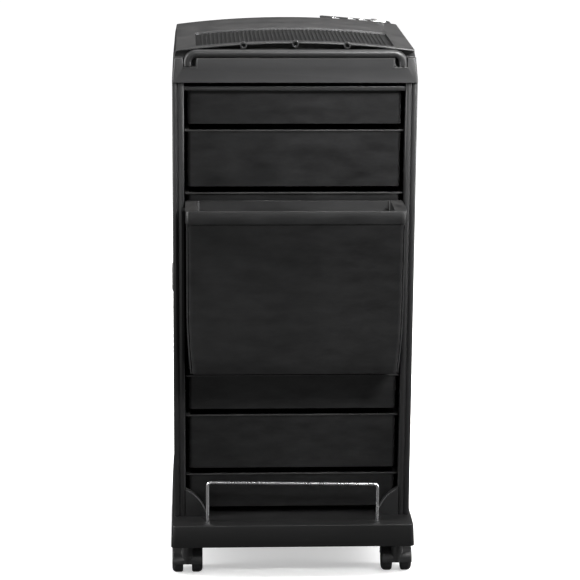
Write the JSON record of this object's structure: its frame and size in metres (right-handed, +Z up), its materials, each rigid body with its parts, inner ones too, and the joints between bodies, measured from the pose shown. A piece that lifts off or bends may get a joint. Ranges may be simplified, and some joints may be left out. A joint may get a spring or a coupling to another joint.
{
  "type": "salon trolley",
  "caption": "Wheeled salon trolley with slide-out drawers between moulded side frames, a top tray with a ribbed mat, a lift-off bin on the back and a bottle rail.",
  "frame": {"origin": "on the floor, under the middle of the whole trolley", "axes": "+Z up; the drawers open towards +Y and the bin hangs on the -Y side; +X is to the right of a person who stands at the bin"},
  "size_m": [0.3902, 0.4322, 0.862],
  "materials": {
    "frame_plastic": "satin black, fine grain",
    "base_plastic": "satin black, fine grain",
    "tray_plastic": "satin black, fine grain",
    "drawer_plastic": "satin black, fine grain",
    "bin_plastic": "satin black, fine grain",
    "bar_plastic": "black, half gloss",
    "socket_plastic": "black, half gloss",
    "mat_rubber": "ribbed, matt black",
    "rail_chrome": "bright",
    "holder_steel": "polished",
    "screw_zinc": "zinc plated",
    "caster_plastic": "black, half gloss",
    "wheel_plastic": "black, satin",
    "caster_steel": "plain",
    "peg_steel": "plain"
  },
  "bodies": {
    "carcass": {"base": "base_plastic", "side_frame_left": "frame_plastic", "side_frame_right": "frame_plastic", "side_cap_left": "frame_plastic", "side_cap_right": "frame_plastic", "back_tie_rail": "frame_plastic", "front_tie_rail": "frame_plastic", "base_screws": "screw_zinc", "tray_screws": "screw_zinc", "top_tray": "tray_plastic", "tray_mat": "mat_rubber", "accessory_sockets": "socket_plastic", "push_bar": "bar_plastic", "tool_holder": "holder_steel", "holder_screws": "screw_zinc", "bin_peg_left": "peg_steel", "bin_peg_right": "peg_steel", "bottle_rail": "rail_chrome", "rail_nuts": "screw_zinc", "caster_sockets": "caster_steel"},
    "bin": {"bin": "bin_plastic"},
    "drawer_1": {"drawer_1": "drawer_plastic"},
    "drawer_2": {"drawer_2": "drawer_plastic"},
    "drawer_3": {"drawer_3": "drawer_plastic"},
    "drawer_4": {"drawer_4": "drawer_plastic"},
    "drawer_5": {"drawer_5": "drawer_plastic"},
    "drawer_6": {"drawer_6": "drawer_plastic"},
    "drawer_7": {"drawer_7": "drawer_plastic"},
    "drawer_8": {"drawer_8": "drawer_plastic"},
    "caster_back_left": {"caster_back_left_hood": "caster_plastic", "caster_back_left_stem": "caster_steel", "caster_back_left_axle": "caster_steel"},
    "caster_back_left_wheel_left": {"caster_back_left_wheel_left": "wheel_plastic"},
    "caster_back_left_wheel_right": {"caster_back_left_wheel_right": "wheel_plastic"},
    "caster_front_left": {"caster_front_left_hood": "caster_plastic", "caster_front_left_stem": "caster_steel", "caster_front_left_axle": "caster_steel"},
    "caster_front_left_wheel_left": {"caster_front_left_wheel_left": "wheel_plastic"},
    "caster_front_left_wheel_right": {"caster_front_left_wheel_right": "wheel_plastic"},
    "caster_back_right": {"caster_back_right_hood": "caster_plastic", "caster_back_right_stem": "caster_steel", "caster_back_right_axle": "caster_steel"},
    "caster_back_right_wheel_left": {"caster_back_right_wheel_left": "wheel_plastic"},
    "caster_back_right_wheel_right": {"caster_back_right_wheel_right": "wheel_plastic"},
    "caster_front_right": {"caster_front_right_hood": "caster_plastic", "caster_front_right_stem": "caster_steel", "caster_front_right_axle": "caster_steel"},
    "caster_front_right_wheel_left": {"caster_front_right_wheel_left": "wheel_plastic"},
    "caster_front_right_wheel_right": {"caster_front_right_wheel_right": "wheel_plastic"}
  },
  "joints": [
    {"name": "drawer_1_slide", "type": "slide", "parent": "carcass", "child": "drawer_1", "axis": [0, 1, 0], "range_m": [0, 0.23]},
    {"name": "drawer_2_slide", "type": "slide", "parent": "carcass", "child": "drawer_2", "axis": [0, 1, 0], "range_m": [0, 0.23]},
    {"name": "drawer_3_slide", "type": "slide", "parent": "carcass", "child": "drawer_3", "axis": [0, 1, 0], "range_m": [0, 0.23]},
    {"name": "drawer_4_slide", "type": "slide", "parent": "carcass", "child": "drawer_4", "axis": [0, 1, 0], "range_m": [0, 0.23]},
    {"name": "drawer_5_slide", "type": "slide", "parent": "carcass", "child": "drawer_5", "axis": [0, 1, 0], "range_m": [0, 0.23]},
    {"name": "drawer_6_slide", "type": "slide", "parent": "carcass", "child": "drawer_6", "axis": [0, 1, 0], "range_m": [0, 0.23]},
    {"name": "drawer_7_slide", "type": "slide", "parent": "carcass", "child": "drawer_7", "axis": [0, 1, 0], "range_m": [0, 0.23]},
    {"name": "drawer_8_slide", "type": "slide", "parent": "carcass", "child": "drawer_8", "axis": [0, 1, 0], "range_m": [0, 0.23]},
    {"name": "bin_lift_off", "type": "slide", "parent": "carcass", "child": "bin", "axis": [0, -0.7071, 0.7071], "range_m": [0, 0.2]},
    {"name": "caster_back_left_swivel", "type": "hinge", "parent": "carcass", "child": "caster_back_left", "pos_m": [-0.169, -0.1586, 0.0554], "axis": [0, 0, 1], "continuous": true},
    {"name": "caster_back_left_wheel_left_spin", "type": "hinge", "parent": "caster_back_left", "child": "caster_back_left_wheel_left", "pos_m": [-0.1847, -0.1446, 0.02], "axis": [1, 0, 0], "continuous": true},
    {"name": "caster_back_left_wheel_right_spin", "type": "hinge", "parent": "caster_back_left", "child": "caster_back_left_wheel_right", "pos_m": [-0.1533, -0.1446, 0.02], "axis": [1, 0, 0], "continuous": true},
    {"name": "caster_front_left_swivel", "type": "hinge", "parent": "carcass", "child": "caster_front_left", "pos_m": [-0.169, 0.1545, 0.0554], "axis": [0, 0, 1], "continuous": true},
    {"name": "caster_front_left_wheel_left_spin", "type": "hinge", "parent": "caster_front_left", "child": "caster_front_left_wheel_left", "pos_m": [-0.1847, 0.1685, 0.02], "axis": [1, 0, 0], "continuous": true},
    {"name": "caster_front_left_wheel_right_spin", "type": "hinge", "parent": "caster_front_left", "child": "caster_front_left_wheel_right", "pos_m": [-0.1533, 0.1685, 0.02], "axis": [1, 0, 0], "continuous": true},
    {"name": "caster_back_right_swivel", "type": "hinge", "parent": "carcass", "child": "caster_back_right", "pos_m": [0.169, -0.1586, 0.0554], "axis": [0, 0, 1], "continuous": true},
    {"name": "caster_back_right_wheel_left_spin", "type": "hinge", "parent": "caster_back_right", "child": "caster_back_right_wheel_left", "pos_m": [0.1533, -0.1446, 0.02], "axis": [1, 0, 0], "continuous": true},
    {"name": "caster_back_right_wheel_right_spin", "type": "hinge", "parent": "caster_back_right", "child": "caster_back_right_wheel_right", "pos_m": [0.1847, -0.1446, 0.02], "axis": [1, 0, 0], "continuous": true},
    {"name": "caster_front_right_swivel", "type": "hinge", "parent": "carcass", "child": "caster_front_right", "pos_m": [0.169, 0.1545, 0.0554], "axis": [0, 0, 1], "continuous": true},
    {"name": "caster_front_right_wheel_left_spin", "type": "hinge", "parent": "caster_front_right", "child": "caster_front_right_wheel_left", "pos_m": [0.1533, 0.1685, 0.02], "axis": [1, 0, 0], "continuous": true},
    {"name": "caster_front_right_wheel_right_spin", "type": "hinge", "parent": "caster_front_right", "child": "caster_front_right_wheel_right", "pos_m": [0.1847, 0.1685, 0.02], "axis": [1, 0, 0], "continuous": true}
  ]
}
